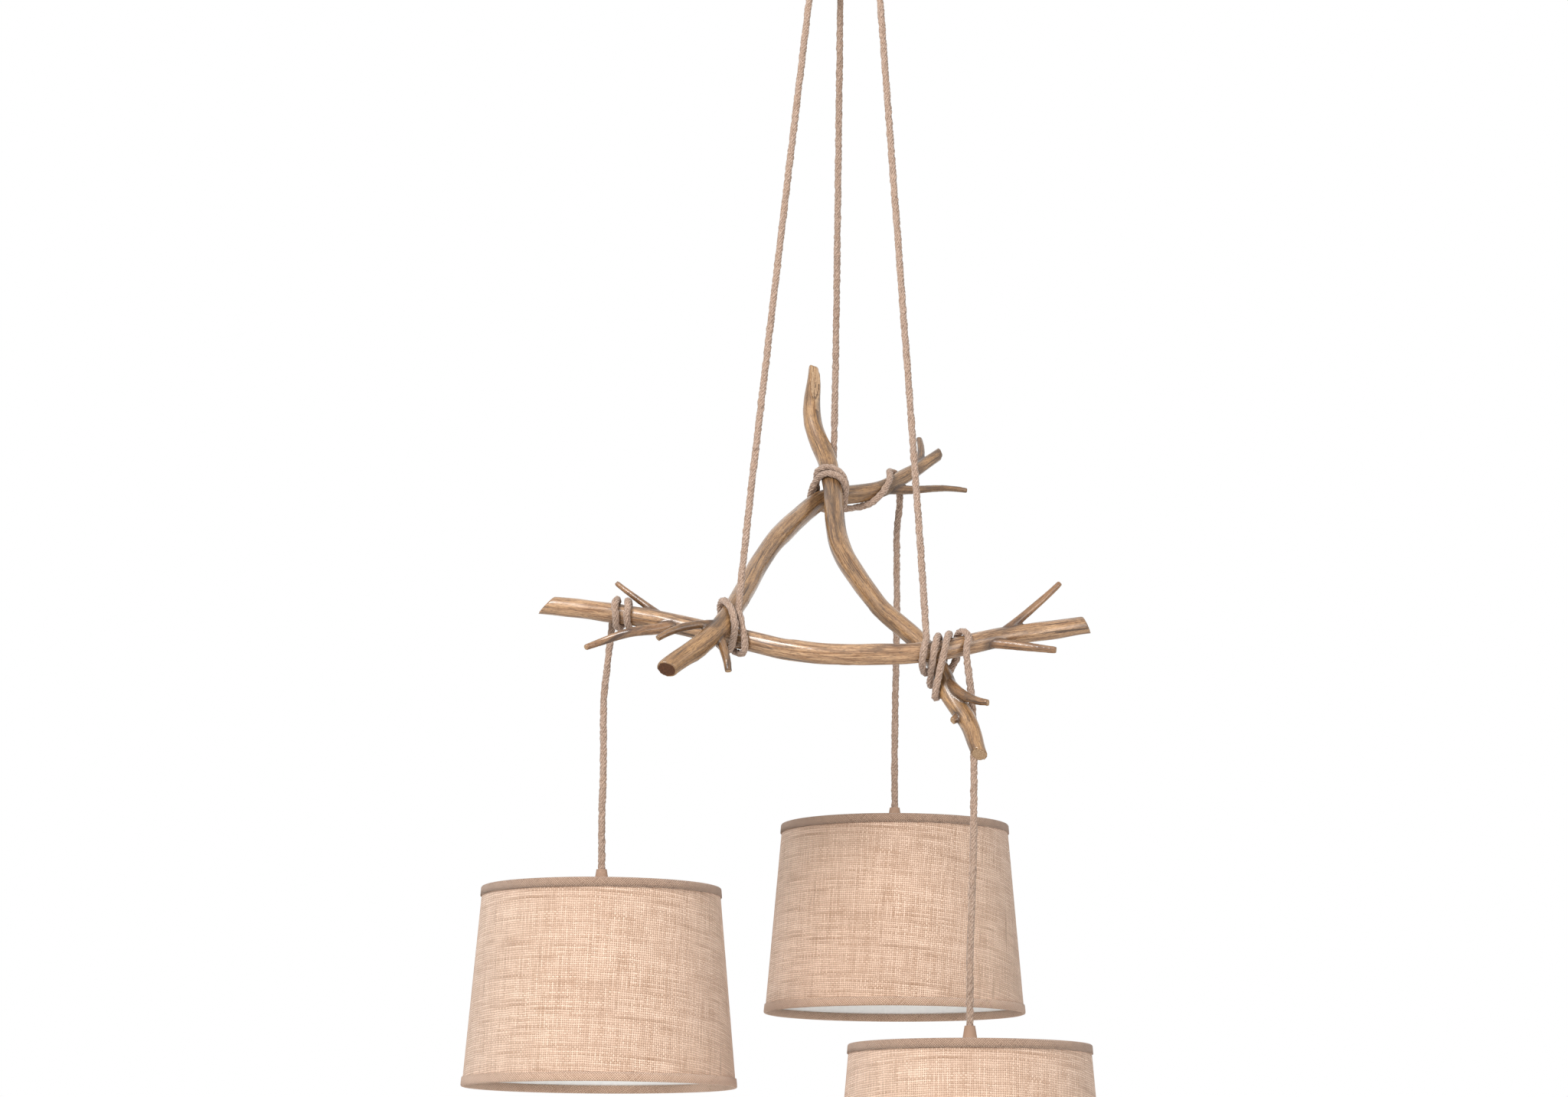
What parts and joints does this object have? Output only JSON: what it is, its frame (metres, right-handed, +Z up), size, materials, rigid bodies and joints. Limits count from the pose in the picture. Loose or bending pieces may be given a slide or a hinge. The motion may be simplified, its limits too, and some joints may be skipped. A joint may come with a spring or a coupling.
{
  "type": "branch pendant light",
  "caption": "Hanging light made of crossed wooden branches lashed with rope, hung on ropes from a round ceiling canopy, with drum-shaped fabric shades at different heights.",
  "frame": {"origin": "centre of the bracket on the ceiling plane", "axes": "+Z up, +Y away from the viewer in front of the light, +X to that viewer's right"},
  "size_m": [0.6996, 0.613, 1.4815],
  "materials": {
    "bracket_steel": "zinc plated",
    "canopy_paint": "satin cream",
    "block_plastic": "matt",
    "grip_brass": "satin",
    "branch_wood": "weathered, grain along the branch",
    "rope_fibre": "twisted natural fibre",
    "shade_fabric": "coarse woven, white inside",
    "wire_paint": "gloss white",
    "holder_plastic": "matt white",
    "cap_metal": "nickel",
    "bulb_glass": "opal"
  },
  "bodies": {
    "ceiling": {"ceiling_bracket": "bracket_steel", "ceiling_canopy": "canopy_paint", "canopy_screws": "bracket_steel", "terminal_block": "block_plastic", "cord_grips": "grip_brass"},
    "frame": {"cord_stops": "grip_brass", "rope_left": "rope_fibre", "rope_right": "rope_fibre", "rope_back": "rope_fibre", "branch_long": "branch_wood", "branch_right": "branch_wood", "branch_left": "branch_wood"},
    "cord_left": {"drop_cord_left": "rope_fibre"},
    "lamp_left": {"shade_left": "shade_fabric", "spider_left": "wire_paint", "ring_nut_left": "holder_plastic", "lampholder_left": "holder_plastic", "cord_cap_left": "holder_plastic", "bulb_cap_left": "cap_metal", "bulb_glass_left": "bulb_glass"},
    "cord_right": {"drop_cord_right": "rope_fibre"},
    "lamp_right": {"shade_right": "shade_fabric", "spider_right": "wire_paint", "ring_nut_right": "holder_plastic", "lampholder_right": "holder_plastic", "cord_cap_right": "holder_plastic", "bulb_cap_right": "cap_metal", "bulb_glass_right": "bulb_glass"},
    "cord_back": {"drop_cord_back": "rope_fibre"},
    "lamp_back": {"shade_back": "shade_fabric", "spider_back": "wire_paint", "ring_nut_back": "holder_plastic", "lampholder_back": "holder_plastic", "cord_cap_back": "holder_plastic", "bulb_cap_back": "cap_metal", "bulb_glass_back": "bulb_glass"}
  },
  "joints": [
    {"name": "frame_sway", "type": "hinge", "parent": "ceiling", "child": "frame", "pos_m": [0, 0, -0.0305], "axis": [1, 0, 0], "range_deg": [-4, 4]},
    {"name": "cord_left_swing", "type": "hinge", "parent": "frame", "child": "cord_left", "pos_m": [-0.2626, -0.06325, -0.896], "axis": [0, 1, 0], "range_deg": [-7, 7]},
    {"name": "lamp_left_tip", "type": "hinge", "parent": "cord_left", "child": "lamp_left", "pos_m": [-0.2626, -0.06325, -1.0716], "axis": [1, 0, 0], "range_deg": [-8, 8]},
    {"name": "cord_right_swing", "type": "hinge", "parent": "frame", "child": "cord_right", "pos_m": [0.142, -0.12617, -0.968], "axis": [0, 1, 0], "range_deg": [-7, 7]},
    {"name": "lamp_right_tip", "type": "hinge", "parent": "cord_right", "child": "lamp_right", "pos_m": [0.137, -0.12617, -1.2436], "axis": [1, 0, 0], "range_deg": [-8, 8]},
    {"name": "cord_back_swing", "type": "hinge", "parent": "frame", "child": "cord_back", "pos_m": [0.0665, 0.18681, -0.665], "axis": [0, 1, 0], "range_deg": [-7, 7]},
    {"name": "lamp_back_tip", "type": "hinge", "parent": "cord_back", "child": "lamp_back", "pos_m": [0.0643, 0.18681, -0.9746], "axis": [1, 0, 0], "range_deg": [-8, 8]}
  ]
}
